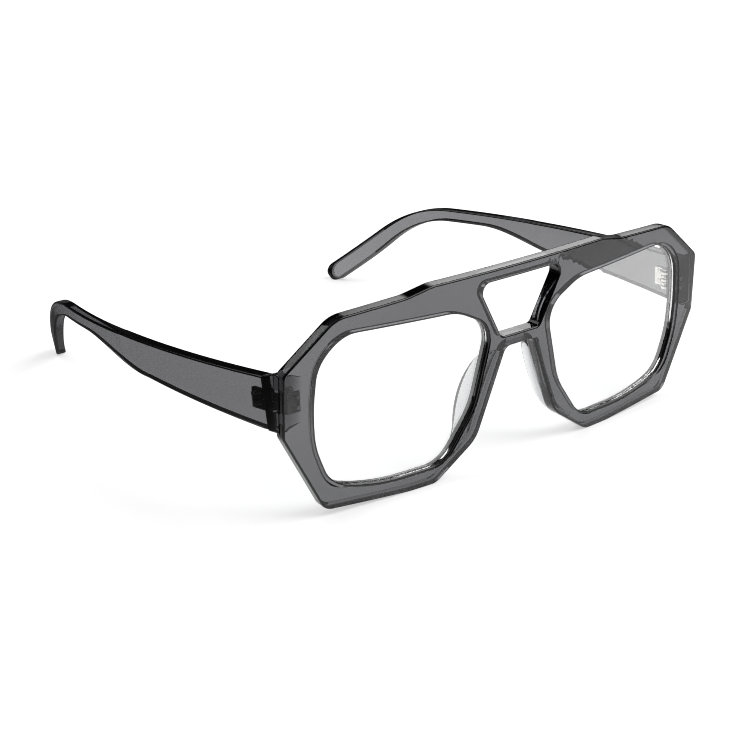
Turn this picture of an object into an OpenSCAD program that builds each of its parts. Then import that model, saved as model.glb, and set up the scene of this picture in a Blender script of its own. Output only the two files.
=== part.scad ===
// Double-bridge spectacles: angular front, clear lenses, flat temples with a shoulder.
// Millimetres. +Z up, the wearer looks along -Y, and the temples run towards +Y.

/* [Front] */
// Half the width across the lugs
half_width = 73.4; // [70:0.1:78]
// Thickness of the front sheet
front_thick = 4.0; // [3.6:0.1:5]
// Radius of the front's base curve
base_radius = 540; // [400:10:900]
// Height of the raised middle of the brow
brow_height = 53.8; // [52.8:0.1:57]
// Half the length of the raised middle
brow_half = 30; // [24:0.5:36]
// Step down beside the raised middle
brow_drop = 1.5; // [0.5:0.1:2.2]
// Inset of the upper corner from the lug face
corner_inset = 14.5; // [12:0.1:16]
// Height of the upper corner
corner_height = 51.2; // [50:0.1:52]
// Height of the lug's upper corner
lug_top = 39.5; // [38.5:0.1:41]
// Height of the lug's lower corner
lug_bottom = 23.2; // [21:0.1:24]
// Inset of the lower outer corner from the lug face
foot_inset = 11.8; // [9:0.1:13]
// Rise of the lower outer corner above the resting flat
foot_rise = 1.7; // [1:0.1:2.4]
// Half the distance between the inner ends of the resting flats
foot_half = 27.4; // [25:0.1:30]

/* [Bridge] */
// Half the width of the nose arch
arch_half = 4.9; // [4:0.1:6]
// Height of the nose arch
arch_height = 32.0; // [31:0.1:33]
// Height of the bridge bar
bridge_bar = 3.0; // [2.5:0.1:4]
// Height of the brow bar above the bridge gap
brow_bar = 3.2; // [2.5:0.1:4.5]
// Half the width of the bridge gap at its top
gap_half_top = 15.2; // [12:0.1:15.6]
// Half the width of the bridge gap at its bottom
gap_half_bottom = 6.6; // [5.5:0.1:7]

/* [Lens opening] */
// Distance from the middle to the opening's nasal side
eye_in = 9.2; // [8.8:0.1:10]
// Width of the side rim at the lug
side_rim = 7.1; // [6.4:0.1:8]
// Height of the opening's upper edge
eye_top = 46.9; // [45:0.1:47.4]
// Height of the opening's lower edge
eye_bottom = 3.9; // [3.4:0.1:5]

/* [Lenses] */
// Thickness of a lens
lens_thick = 1.8; // [1.4:0.1:2.2]
// Depth of the groove that holds the lens
groove_depth = 1.0; // [0.6:0.1:1.2]
// Gap between the lens and its groove
lens_gap = 0.05; // [0.03:0.01:0.1]

/* [Nose pads] */
// How far a pad stands behind the rim
pad_depth = 6.0; // [4.2:0.1:7]
// Splay of the pad's nasal face
pad_splay = 18; // [10:1:26]
// Height where a pad ends below
pad_bottom = 4.4; // [3.5:0.1:7]
// Height where a pad ends above
pad_top = 31.0; // [29.5:0.1:31.4]
// Width of a pad on the rim
pad_base = 3.4; // [3:0.1:3.8]
// Radius of a pad's crest
pad_crest = 0.7; // [0.5:0.1:0.9]

/* [Lugs] */
// Outward flare of the lug over its depth
lug_flare = 0.7; // [0.4:0.1:1.4]
// Slant of the joint between lug and temple
joint_slant = 11; // [7:1:12]
// Distance from the joint to the hinge axis
joint_ahead = 1.2; // [1:0.1:1.5]
// Width of the ramp's full depth inwards from the temple's inner face
ramp_crest = 1.4; // [1:0.1:1.8]
// Height where the ramp's upper edge meets the lens opening
ramp_top = 37.6; // [36.5:0.1:38.5]
// Height where the ramp's lower edge meets the lens opening
ramp_bottom = 26.0; // [25:0.1:26.8]
// Slope of the ramp's upper and lower edges across the rim
ramp_slope = 0.4; // [0:0.05:0.6]

/* [Temples] */
// Depth from the middle of the front to the hinge axis
hinge_depth = 12.4; // [12:0.1:14]
// Height of the hinge's middle above the ground
hinge_height = 31.0; // [30:0.1:32]
// Temple thickness at the hinge
temple_thick = 3.5; // [3.3:0.1:4.2]
// Temple thickness at the tip
tip_thick = 2.7; // [2.4:0.1:3.4]
// Radius of the temple's bow seen from above
bow_radius = 258; // [240:1:300]
// Distance along the temple where the bow is widest
bow_peak = 39; // [30:1:44]
// Distance along the temple where the closer bow starts
ear_bow_start = 55; // [50:1:70]
// Radius of the closer bow
ear_bow_radius = 174; // [140:1:220]
// Tilt of the closer bow
ear_bow_tilt = 16; // [10:1:24]
// Rise of the temple's top edge above the hinge's middle
temple_rise = 6.6; // [6.2:0.1:7]
// Height of the temple at the hinge
blade_height = 13.4; // [12.6:0.1:14]
// Height of the temple where the shoulder starts
blade_end_height = 9.4; // [8:0.1:10.5]
// Distance from the hinge to the start of the shoulder
shoulder_start = 44; // [38:1:50]
// Length of the shoulder
shoulder_length = 33; // [26:1:38]
// Height of the neck behind the shoulder
neck_height = 3.7; // [3.2:0.1:5]
// Distance from the hinge to the start of the ear bend
bend_start = 90; // [84:1:96]
// Radius of the ear bend at the top edge
bend_radius = 37; // [30:1:45]
// Angle of the ear bend
bend_angle = 38.5; // [32:0.5:42]
// Length of the ear piece behind the bend
ear_length = 23; // [18:1:28]
// Height of the ear piece near its tip
paddle_height = 5.5; // [5:0.1:7]
// Corner radius of the tip
tip_round = 2.2; // [1:0.1:2.3]

/* [Hinges] */
// Height of a hinge
hinge_tall = 5.2; // [5:0.1:6]
// Outside diameter of the knuckles
knuckle_d = 3.0; // [2.6:0.1:3.2]
// Diameter of the screw's shank
screw_d = 1.4; // [1.2:0.1:1.5]
// Diameter of the screw's head
head_d = 2.4; // [2:0.1:2.6]
// Thickness of the screw's head
head_thick = 0.7; // [0.5:0.1:1]
// Width and depth of the screw's slot
screw_slot = 0.35; // [0.25:0.05:0.45]
// Running gap of the knuckles and the screw
hinge_gap = 0.06; // [0.04:0.01:0.1]
// Thickness of a hinge leaf
leaf_thick = 1.1; // [0.9:0.1:1.3]
// Depth that a leaf is sunk in the plastic
leaf_sink = 0.8; // [0.5:0.1:1]
// How far the front leaf lies back in the ramp
leaf_rise = 0.5; // [0.3:0.1:0.7]
// Length of the front leaf inwards from the hinge axis
front_leaf = 2.0; // [1.8:0.1:2.2]
// Length of a temple leaf
temple_leaf = 4.4; // [4:0.1:6]
// Diameter of a rivet
rivet_d = 1.1; // [0.9:0.1:1.3]
// Depth of a rivet in the plastic behind its leaf
rivet_depth = 1.6; // [1:0.1:1.8]
// Spacing of a leaf's two rivets
rivet_spacing = 2.8; // [2.4:0.1:3]

/* [Hidden] */

$fn = 72;
big_round = 360;
fillet_step = 7;
seat_gap = 0.03;
butt_gap = 0.1;
barrel_gap = 0.2;
beyond = 40;

// Roundings of the front's outline, from the brow down to the nose arch
brow_round = 12;
corner_round = 9;
lug_upper_round = 2.5;
lug_lower_round = 3;
foot_round = 4;
flat_outer_round = 30;
flat_inner_round = 5;
nasal_round = 9;
arch_round = 2.5;

// Length of the step beside the brow, of a resting flat, and the nasal edge's lower corner
brow_step = 8;
flat_long = 8.5;
nasal_foot = [foot_half, 0];
nasal_low = [foot_half - 13.2, 8.8];

// Colours of the finishes
smoke = [0.33, 0.33, 0.35, 0.85];
clear = [0.92, 0.93, 0.94, 0.35];
pad_clear = [0.88, 0.89, 0.90, 0.6];
nickel = [0.78, 0.78, 0.76];

// Sag of the base curve at a distance from the middle
function sag(x) = base_radius - sqrt(base_radius * base_radius - x * x);

// Unit vector from a to b, and the arc that rounds the corner b by radius r
function unit(v) = v / norm(v);
function corner_arc(a, b, c, r) =
    let (p = unit(a - b), q = unit(c - b), half = acos(max(-1, min(1, p * q))) / 2)
    let (reach = r / tan(half), centre = b + unit(p + q) * (r / sin(half)))
    let (from = b + p * reach - centre, to = b + q * reach - centre)
    let (a0 = atan2(from[1], from[0]), turn = (atan2(to[1], to[0]) - a0 + 540) % 360 - 180)
    let (n = max(1, ceil(abs(turn) / fillet_step)))
    [for (i = [0:n]) centre + r * [cos(a0 + turn * i / n), sin(a0 + turn * i / n)]];

// Polygon of corner points, each [x, z, radius], with every corner rounded
function rounded(pts) =
    let (n = len(pts))
    [for (i = [0:n - 1])
        let (a = pts[(i + n - 1) % n], b = pts[i], c = pts[(i + 1) % n])
        each (b[2] > 0
            ? corner_arc([a[0], a[1]], [b[0], b[1]], [c[0], c[1]], b[2])
            : [[b[0], b[1]]])];

// Corner points moved outwards by d, for a convex outline listed clockwise
function side_normal(a, b) = let (v = unit([b[0] - a[0], b[1] - a[1]])) [-v[1], v[0]];
function grown(pts, d) =
    let (n = len(pts))
    [for (i = [0:n - 1])
        let (b = pts[i], m = side_normal(pts[(i + n - 1) % n], b), k = side_normal(b, pts[(i + 1) % n]))
        let (move = (m + k) * (d / (1 + m * k)))
        [b[0] + move[0], b[1] + move[1], b[2] + d]];

// Corner points of one half mirrored to the other half, for a closed outline
function both_halves(pts) = concat(pts, [for (i = [len(pts) - 1:-1:0]) [-pts[i][0], pts[i][1], pts[i][2]]]);

// Outline of the front, half by half, from the brow round the lug to the nose arch
function front_corners(w) = both_halves([
    [brow_half, brow_height, brow_round],
    [brow_half + brow_step, brow_height - brow_drop, brow_round],
    [w - corner_inset, corner_height, corner_round],
    [w, lug_top, lug_upper_round],
    [w, lug_bottom, lug_lower_round],
    [w - foot_inset, foot_rise, foot_round],
    [foot_half + flat_long, 0, flat_outer_round],
    [nasal_foot[0], nasal_foot[1], flat_inner_round],
    [nasal_low[0], nasal_low[1], nasal_round],
    [arch_half, arch_height, arch_round]
]);

// Trapezoid gap between the two bridges
gap_bottom = arch_height + bridge_bar;
gap_top = brow_height - brow_bar;
gap_corners = both_halves([
    [gap_half_top, gap_top, 2.4],
    [gap_half_bottom, gap_bottom, 1.8]
]);

// Lens opening on the +X side, clockwise from the upper nasal corner
eye_out = half_width - side_rim;
eye_corners = [
    [eye_in, eye_top - 7.7, 8],
    [eye_in + 12.3, eye_top - 1.5, 16],
    [eye_out - 1.8, eye_top + 0.6, 12],
    [eye_out, eye_bottom + 25, 50],
    [eye_out - 0.6, eye_bottom + 15, 24],
    [eye_out - 5.2, eye_bottom + 3.6, 9],
    [eye_out - 22.3, eye_bottom + 0.2, 60],
    [eye_in + 15.4, eye_bottom + 0.2, 10],
    [eye_in + 5.5, eye_bottom + 13.6, 20]
];

// Hinge place: the temple's inner face passes the knuckles by a small gap
lug_out = half_width + lug_flare;
temple_in = lug_out - temple_thick;
knuckle_r = knuckle_d / 2;
hinge_x = temple_in - knuckle_r - barrel_gap;
knuckle_step = hinge_tall / 5;
knuckle_tall = knuckle_step - hinge_gap;
slab_back = sag(hinge_x) + front_thick;

// Top edge of the temple, at a distance s along it, as [along, up, slope angle]
bend_length = bend_radius * bend_angle * PI / 180;
temple_length = bend_start + bend_length + ear_length;
function top_edge(s) =
    s < bend_start ? [s, temple_rise, 0]
    : s < bend_start + bend_length
    ? let (a = (s - bend_start) / bend_length * bend_angle)
        [bend_start + bend_radius * sin(a), temple_rise - bend_radius * (1 - cos(a)), a]
    : let (rest = s - bend_start - bend_length)
        [bend_start + bend_radius * sin(bend_angle) + rest * cos(bend_angle),
         temple_rise - bend_radius * (1 - cos(bend_angle)) - rest * sin(bend_angle), bend_angle];

// Height of the temple below its top edge
function ease(t) = let (k = max(0, min(1, t))) k * k * (3 - 2 * k);
neck_end = bend_start;
paddle_full = temple_length - 12;
function temple_height(s) =
    s < shoulder_start
    ? blade_height + (blade_end_height - blade_height) * s / shoulder_start
    : s < neck_end
    ? blade_end_height + (neck_height - blade_end_height) * ease((s - shoulder_start) / shoulder_length)
    : neck_height + (paddle_height - neck_height) * ease((s - neck_end) / (paddle_full - neck_end));
function bottom_edge(s) =
    let (t = top_edge(s), h = temple_height(s))
    [t[0] - h * sin(t[2]), t[1] - h * cos(t[2])];

// Side view of the temple in its own plane, from the hinge end along the top and back
fore = -joint_ahead - 3;
top_stops = concat([fore, bend_start],
    [for (i = [1:6]) bend_start + bend_length * i / 6]);
bottom_stops = concat(
    [for (i = [12:-1:0]) neck_end + (paddle_full - neck_end) * i / 12],
    [for (i = [10:-1:0]) shoulder_start + shoulder_length * i / 10], [fore]);
tip_top = top_edge(temple_length);
tip_bottom = bottom_edge(temple_length);
tip_before = bottom_edge(paddle_full);
top_before = top_edge(bend_start + bend_length);
temple_outline = concat(
    [for (s = top_stops) [top_edge(s)[0], top_edge(s)[1]]],
    corner_arc([top_before[0], top_before[1]], [tip_top[0], tip_top[1]], tip_bottom, tip_round),
    corner_arc([tip_top[0], tip_top[1]], tip_bottom, tip_before, tip_round),
    [for (s = bottom_stops) bottom_edge(s)]);

// Pitch that rests the temple's tip on the ground, found by halving
function lowest(pitch) = hinge_height + min([for (p = temple_outline) p[1] * cos(pitch) - p[0] * sin(pitch)]);
function rest_pitch(low, high, steps) =
    let (middle = (low + high) / 2)
    steps == 0 ? middle
    : lowest(middle) > 0 ? rest_pitch(middle, high, steps - 1)
    : rest_pitch(low, middle, steps - 1);
pitch = rest_pitch(-10, 25, 24);
full_depth = hinge_depth + max([for (p = temple_outline) p[0] * cos(pitch) + p[1] * sin(pitch)]);

// Extrusions of a side, front or plan outline along X, Y or Z
module along_x(pts, from, to) {
    translate([from, 0, 0]) rotate([90, 0, 90]) linear_extrude(to - from) polygon(pts);
}
module along_y(pts, from, to) {
    translate([0, to, 0]) rotate([90, 0, 0]) linear_extrude(to - from) polygon(pts);
}
module along_z(pts, from, to) {
    translate([0, 0, from]) linear_extrude(to - from) polygon(pts);
}

// Curved sheet between two depths behind the front face
module drum(r, tall) {
    translate([0, base_radius, 0]) cylinder(r = r, h = tall, center = true, $fn = big_round);
}
module sheet(near, far) {
    difference() {
        drum(base_radius - near, 4 * beyond);
        drum(base_radius - far, 6 * beyond);
    }
}
module curved_plate(pts, near, far) {
    intersection() {
        sheet(near, far);
        along_y(pts, -beyond, beyond);
    }
}

// Every piece stands with the origin under the middle of the whole object
module placed() {
    translate([0, -full_depth / 2, 0]) children();
}
module on_side(side) {
    placed() mirror([side < 0 ? 1 : 0, 0, 0]) children();
}

// Frame of a hinge on the +X side: origin in the middle of the knuckles, Z along the screw,
// Y along the temple
module at_hinge() {
    translate([hinge_x, hinge_depth, hinge_height]) rotate([-pitch, 0, 0]) children();
}

// Half-space in front of the slanted joint between lug and temple, less a gap
module ahead_of_joint(gap) {
    translate([0, hinge_depth - joint_ahead - gap, hinge_height]) rotate([-joint_slant, 0, 0])
        translate([-3 * beyond, -2 * beyond, -beyond]) cube([6 * beyond, 2 * beyond, 2 * beyond]);
}

// Lug behind the side rim, and the ramp that joins it to the back of the rim, cut along the joint
lug_root = 2;
lug_reach = 6;
module lug() {
    rear = sag(half_width) + front_thick;
    rear_top = temple_rise * cos(pitch) + hinge_height;
    rear_bottom = (temple_rise - blade_height) * cos(pitch) + hinge_height;
    root = rear - lug_root;
    far = hinge_depth + lug_reach;
    slope_top = (rear_top - lug_top) / (hinge_depth - rear);
    slope_bottom = (rear_bottom - lug_bottom) / (hinge_depth - rear);
    crest_x = temple_in - ramp_crest;
    climb = ramp_slope * (temple_in - eye_out);
    intersection() {
        along_y(rounded(front_corners(lug_out)), -beyond, beyond);
        along_x([
            [root, lug_bottom], [rear, lug_bottom], [far, lug_bottom + slope_bottom * (far - rear)],
            [far, lug_top + slope_top * (far - rear)], [rear, lug_top], [root, lug_top]
        ], 0, 2 * half_width);
        along_y([
            [eye_out, ramp_bottom], [temple_in, ramp_bottom - climb], [temple_in, 0],
            [lug_out, 0], [lug_out, brow_height], [temple_in, brow_height],
            [temple_in, ramp_top + climb], [eye_out, ramp_top]
        ], -beyond, beyond);
        along_z([
            [eye_out, root], [half_width, root], [half_width, rear],
            [lug_out, hinge_depth - joint_ahead], [lug_out, far], [crest_x, far],
            [crest_x, hinge_depth - joint_ahead], [eye_out, sag(eye_out) + front_thick]
        ], 0, 2 * beyond);
        ahead_of_joint(butt_gap);
    }
}

// Pocket for a leaf: the leaf's own box with a small gap round it
module leaf_box(size, gap) {
    translate([-gap, -gap, -size[2] / 2 - gap]) cube(size + 2 * gap * [1, 1, 1]);
}

// Front leaf: flat plate in the ramp behind the side rim, x towards the lug, y backwards
front_leaf_wide = front_leaf + temple_in - seat_gap - hinge_x;
plate_back = slab_back - hinge_depth + leaf_thick - leaf_sink + leaf_rise;
module front_leaf_plate() {
    translate([-front_leaf, plate_back - leaf_thick, 0])
        leaf_box([front_leaf_wide, leaf_thick, hinge_tall], 0);
}

// Pocket in the ramp for that leaf and the knuckles, with a way down to the screw's head
module hinge_pocket() {
    translate([-front_leaf, plate_back - leaf_thick, 0])
        leaf_box([front_leaf_wide - seat_gap, beyond, hinge_tall], seat_gap);
    cylinder(d = head_d + 2 * barrel_gap, h = beyond);
}

// Temple leaf: flat plate in the temple's inner face
temple_leaf_start = 1.0;
plate_x = temple_in - hinge_x + leaf_sink - leaf_thick;
module temple_leaf_plate(gap) {
    translate([plate_x, temple_leaf_start, 0])
        leaf_box([leaf_thick, temple_leaf, hinge_tall - 2 * hinge_gap], gap);
}

// Places of the rivets in each leaf
front_rivet_x = -0.85;
rivet_share = 0.62;
temple_rivet_y = temple_leaf_start + temple_leaf * rivet_share;
head_rise = 0.25;
module rivet(gap) {
    cylinder(d = rivet_d + 2 * gap, h = leaf_thick + rivet_depth + gap);
}
module rivet_head() {
    translate([0, 0, -head_rise]) cylinder(d1 = rivet_d, d2 = rivet_d + 2 * head_rise, h = head_rise);
}
module rivet_hole() {
    translate([0, 0, -hinge_tall]) cylinder(d = rivet_d + 2 * seat_gap, h = 2 * hinge_tall);
}
module at_front_rivet(up) {
    at_hinge() translate([front_rivet_x, plate_back, up * rivet_spacing / 2]) rotate([90, 0, 0]) children();
}
module at_temple_rivet(up) {
    at_hinge() translate([plate_x, temple_rivet_y, up * rivet_spacing / 2]) rotate([0, 90, 0]) children();
}

module front_frame() {
    color(smoke) placed() difference() {
        union() {
            difference() {
                curved_plate(rounded(front_corners(half_width)), 0, front_thick);
                along_y(rounded(gap_corners), -beyond, beyond);
                for (side = [-1, 1])
                    mirror([side < 0 ? 1 : 0, 0, 0]) along_y(rounded(eye_corners), -beyond, beyond);
            }
            for (side = [-1, 1]) mirror([side < 0 ? 1 : 0, 0, 0]) lug();
        }
        for (side = [-1, 1]) mirror([side < 0 ? 1 : 0, 0, 0]) {
            curved_plate(rounded(grown(eye_corners, groove_depth)), groove_near, groove_far);
            at_hinge() hinge_pocket();
            for (up = [-1, 1]) at_front_rivet(up) rivet(seat_gap);
        }
    }
}

// Groove in the middle of the sheet, and the lens that lies in it
groove_near = (front_thick - lens_thick) / 2 - lens_gap;
groove_far = (front_thick + lens_thick) / 2 + lens_gap;
module lens(side) {
    color(clear) on_side(side) curved_plate(
        rounded(grown(eye_corners, groove_depth - lens_gap)),
        groove_near + lens_gap, groove_far - lens_gap);
}

// Nasal edge of the rim at a height, from the same corners as the outline
function nasal_x(z) =
    z > nasal_low[1]
    ? nasal_low[0] + (arch_half - nasal_low[0]) * (z - nasal_low[1]) / (arch_height - nasal_low[1])
    : nasal_low[0] + (nasal_foot[0] - nasal_low[0]) * (nasal_low[1] - z) / nasal_low[1];

// One ring of a nose pad: from the rim's nasal edge back to a rounded crest and home again.
// The pad swells soon below its upper end and thins out slowly downwards.
pad_rings = 14;
pad_inset = 0.3;
pad_lip = 0.5;
pad_hollow = 0.25;
function pad_swell(t) = pow(sin(180 * pow(t, 0.8)), 0.7);
function pad_ring(i) =
    let (t = i / pad_rings, z = pad_top + (pad_bottom - pad_top) * t, swell = pad_swell(t))
    let (x = nasal_x(z) + pad_inset, y = sag(x + pad_base) + front_thick + seat_gap)
    let (reach = pad_lip + (pad_depth - pad_lip) * swell, crest_x = x + reach * tan(pad_splay))
    let (outer_x = max(crest_x + pad_crest, x + pad_base), round = pad_crest * swell)
    [
        [x, y, z],
        [x + reach * tan(pad_splay) / 2 - pad_hollow, y + reach / 2, z],
        [crest_x - pad_crest / 7, y + reach - round * 0.7, z],
        [crest_x + pad_crest / 2, y + reach, z],
        [crest_x + pad_crest * 1.5, y + reach - round / 5, z],
        [crest_x + pad_crest * 2, y + reach - round, z],
        [outer_x + pad_inset * swell, y + reach * 0.45, z],
        [x + pad_base, y, z]
    ];
module ring_loft(rings) {
    n = len(rings[0]);
    m = len(rings);
    polyhedron(
        points = [for (ring = rings) each ring],
        faces = concat(
            [[for (k = [n - 1:-1:0]) k]],
            [[for (k = [0:n - 1]) (m - 1) * n + k]],
            [for (j = [0:m - 2]) for (k = [0:n - 1]) let (a = j * n + k, b = j * n + (k + 1) % n)
                each [[a, b, b + n], [a, b + n, a + n]]]),
        convexity = 4);
}
module nose_pad(side) {
    color(pad_clear) on_side(side) ring_loft([for (i = [0:pad_rings]) pad_ring(i)]);
}

// Bow of the temple seen from above: a round bow, then a closer and tilted one.
// The inner bow is shifted back, so the temple gets thinner towards its tip.
bow_x = lug_out - hinge_x - sqrt(bow_radius * bow_radius - bow_peak * bow_peak);
ear_bow_at = bottom_edge(ear_bow_start);
ear_bow_long = (tip_bottom[0] - ear_bow_at[0]) * cos(ear_bow_tilt)
    - (tip_bottom[1] - ear_bow_at[1]) * sin(ear_bow_tilt);
bow_turn_sine = ear_bow_at[0] / bow_radius + ear_bow_long / ear_bow_radius;
inner_shift = (temple_thick - tip_thick) / bow_turn_sine;
inner_bow_radius = norm([temple_in - hinge_x - bow_x, bow_peak + inner_shift]);
module bow(radius, ear_radius, shift, tall) {
    turn = asin((ear_bow_at[0] - bow_peak - shift) / radius);
    difference() {
        translate([bow_x, bow_peak + shift, 0])
            cylinder(r = radius, h = tall, center = true, $fn = big_round);
        at_ear_bow() difference() {
            translate([-6 * beyond, 0, -tall]) cube([12 * beyond, 6 * beyond, 2 * tall]);
            translate([bow_x + (radius - ear_radius) * cos(turn), -ear_radius * sin(turn), 0])
                cylinder(r = ear_radius, h = 3 * tall, center = true, $fn = big_round);
        }
    }
}
module at_ear_bow() {
    translate([0, ear_bow_at[0], ear_bow_at[1]]) rotate([-ear_bow_tilt, 0, 0]) children();
}

// Temple: side view extruded across, kept between two bows
module temple(side) {
    color(smoke) on_side(side) difference() {
        at_hinge() intersection() {
            along_x(temple_outline, -3 * beyond, beyond);
            bow(bow_radius, ear_bow_radius, 0, 3 * beyond);
        }
        ahead_of_joint(0);
        at_hinge() bow(inner_bow_radius, ear_bow_radius - temple_thick, inner_shift, 4 * beyond);
        at_hinge() temple_leaf_plate(seat_gap);
        at_hinge() translate([0, fore, -hinge_tall / 2 - seat_gap])
            cube([plate_x + leaf_thick + seat_gap, temple_leaf_start - fore, hinge_tall + 2 * seat_gap]);
        for (up = [-1, 1]) at_temple_rivet(up) rivet(seat_gap);
    }
}

// Knuckle levels in the hinge's height: the front leaf's lie between the temple leaf's
front_levels = [-1, 1];
temple_levels = [-2, 0, 2];
module knuckle(level) {
    translate([0, 0, level * knuckle_step - knuckle_tall / 2]) children();
}
module bored(extra) {
    difference() {
        children();
        translate([0, 0, -hinge_tall]) cylinder(d = screw_d + 2 * extra, h = 2 * hinge_tall);
    }
}

// Front leaf with two knuckles
module front_hinge_leaf(side) {
    web_wide = knuckle_r - barrel_gap;
    color(nickel) on_side(side) difference() {
        at_hinge() bored(hinge_gap) union() {
            front_leaf_plate();
            for (level = front_levels) knuckle(level) {
                cylinder(d = knuckle_d, h = knuckle_tall);
                translate([0, plate_back - leaf_thick / 2, 0])
                    cube([web_wide, leaf_thick / 2 - plate_back, knuckle_tall]);
            }
        }
        for (up = [-1, 1]) at_front_rivet(up) rivet_hole();
    }
}

// Temple leaf with three knuckles
web_overlap = 0.8;
module temple_hinge_leaf(side) {
    web_long = temple_leaf_start + web_overlap;
    color(nickel) on_side(side) difference() {
        at_hinge() bored(hinge_gap) union() {
            temple_leaf_plate(0);
            for (level = temple_levels) knuckle(level) {
                cylinder(d = knuckle_d, h = knuckle_tall);
                cube([plate_x + leaf_thick / 2, web_long, knuckle_tall]);
            }
        }
        for (up = [-1, 1]) at_temple_rivet(up) rivet_hole();
    }
}

// Screw down the knuckles, with a slotted head on the upper one
module hinge_screw(side) {
    top = hinge_tall / 2 - hinge_gap / 2;
    color(nickel) on_side(side) at_hinge() difference() {
        union() {
            translate([0, 0, -top]) cylinder(d = screw_d, h = 2 * top);
            translate([0, 0, top]) cylinder(d = head_d, h = head_thick);
        }
        translate([-head_d, -screw_slot / 2, top + head_thick - screw_slot])
            cube([2 * head_d, screw_slot, head_thick]);
    }
}

module front_rivet(side, up) {
    color(nickel) on_side(side) at_front_rivet(up) {
        rivet_head();
        cylinder(d = rivet_d, h = leaf_thick + rivet_depth);
    }
}
module temple_rivet(side, up) {
    color(nickel) on_side(side) at_temple_rivet(up) {
        rivet_head();
        cylinder(d = rivet_d, h = leaf_thick + rivet_depth);
    }
}

front_frame();
lens(1);  // lens_left
lens(-1);  // lens_right
nose_pad(1);  // nose_pad_left
nose_pad(-1);  // nose_pad_right
temple(1);  // temple_left
temple(-1);  // temple_right
front_hinge_leaf(1);  // front_hinge_leaf_left
front_hinge_leaf(-1);  // front_hinge_leaf_right
temple_hinge_leaf(1);  // temple_hinge_leaf_left
temple_hinge_leaf(-1);  // temple_hinge_leaf_right
hinge_screw(1);  // hinge_screw_left
hinge_screw(-1);  // hinge_screw_right
front_rivet(1, 1);  // front_rivet_upper_left
front_rivet(-1, 1);  // front_rivet_upper_right
front_rivet(1, -1);  // front_rivet_lower_left
front_rivet(-1, -1);  // front_rivet_lower_right
temple_rivet(1, 1);  // temple_rivet_upper_left
temple_rivet(-1, 1);  // temple_rivet_upper_right
temple_rivet(1, -1);  // temple_rivet_lower_left
temple_rivet(-1, -1);  // temple_rivet_lower_right
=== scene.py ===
"""Double-bridge spectacles in clear smoke-grey plastic, standing open on a pale floor."""

import logging
import math
from collections.abc import Callable
from dataclasses import dataclass
from enum import Enum
from functools import lru_cache

import bmesh
import bpy
from mathutils import Matrix, Vector


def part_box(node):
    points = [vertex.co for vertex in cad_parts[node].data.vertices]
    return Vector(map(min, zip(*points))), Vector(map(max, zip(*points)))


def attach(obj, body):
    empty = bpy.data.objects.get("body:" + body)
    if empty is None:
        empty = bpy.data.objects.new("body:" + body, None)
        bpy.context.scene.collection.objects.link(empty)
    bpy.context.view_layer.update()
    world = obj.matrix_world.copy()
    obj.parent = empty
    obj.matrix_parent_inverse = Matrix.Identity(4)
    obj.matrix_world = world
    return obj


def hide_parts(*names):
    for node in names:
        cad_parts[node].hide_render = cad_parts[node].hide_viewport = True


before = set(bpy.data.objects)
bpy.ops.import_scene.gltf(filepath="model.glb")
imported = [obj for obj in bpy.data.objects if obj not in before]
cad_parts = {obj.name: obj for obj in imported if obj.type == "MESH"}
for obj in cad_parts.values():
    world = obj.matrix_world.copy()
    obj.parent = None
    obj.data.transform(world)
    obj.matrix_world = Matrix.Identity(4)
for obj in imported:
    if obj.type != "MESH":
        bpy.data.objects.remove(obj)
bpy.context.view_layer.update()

MM = 0.001
log = logging.getLogger("spectacles")

Point = tuple[float, float]
Place = tuple[float, float, float]
Colour = tuple[float, float, float]
CornerPoint = tuple[float, float, float]
Socket = bpy.types.NodeSocket
Value = float | tuple[float, ...] | Vector | Socket
Feeds = dict[str | int, Value]

# Steps of the meshes: arcs by turn and chord, straight stretches, and the strips of a bent sheet
ARC_TURN = math.radians(6)
ARC_CHORD = 1.1
STRAIGHT_STEP = 2.2
STRIP_START = 1.5
STRIP_WIDTH = 2.5
SHARP_EDGE = math.radians(35)

# How squarely a face looks to the side, up or out of the sheet, as parts of its normal
LUG_SIDE_FACING = 0.93
LUG_TOP_FACING = 0.2
WALL_FACING = 0.1
SHEET_FACING = 0.993
FLAT_FACING = 0.995

# Finishes: the attribute that marks where shade is painted into the plastic's colour, the haze that it
# adds, and the hairlines of the polish
PAINTED_SHADE_ATTRIBUTE = "painted_edge_shade"
PAINTED_SHADE_HAZE = 0.2
HAIR_STRETCH = (14.0, 3.0, 14.0)
HAIR_SHARE = 0.35


class Side(Enum):
    """The wearer's two sides, as the sign of X."""

    LEFT = 1
    RIGHT = -1

    @property
    def word(self) -> str:
        """The side's word in the node names."""
        return self.name.lower()


class Body(Enum):
    """The bodies that pieces ride on."""

    FRONT = "front"
    LEFT_TEMPLE = "left_temple"
    RIGHT_TEMPLE = "right_temple"

    @staticmethod
    def temple(side: Side) -> "Body":
        """The temple body of one side."""
        return Body.LEFT_TEMPLE if side is Side.LEFT else Body.RIGHT_TEMPLE


# Outlines


@dataclass(frozen=True)
class Contour:
    """A closed outline in the front's own plane, with the direction into the plastic at each point."""

    points: tuple[Point, ...]
    inwards: tuple[Point, ...]


def mirrored(corners: list[CornerPoint]) -> list[CornerPoint]:
    """The outline on the -X side, still clockwise."""
    return [(-x, z, r) for x, z, r in reversed(corners)]


def both_halves(corners: list[CornerPoint]) -> list[CornerPoint]:
    """Corners of the +X half followed by their mirror images, as one closed outline."""
    return corners + mirrored(corners)


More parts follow.
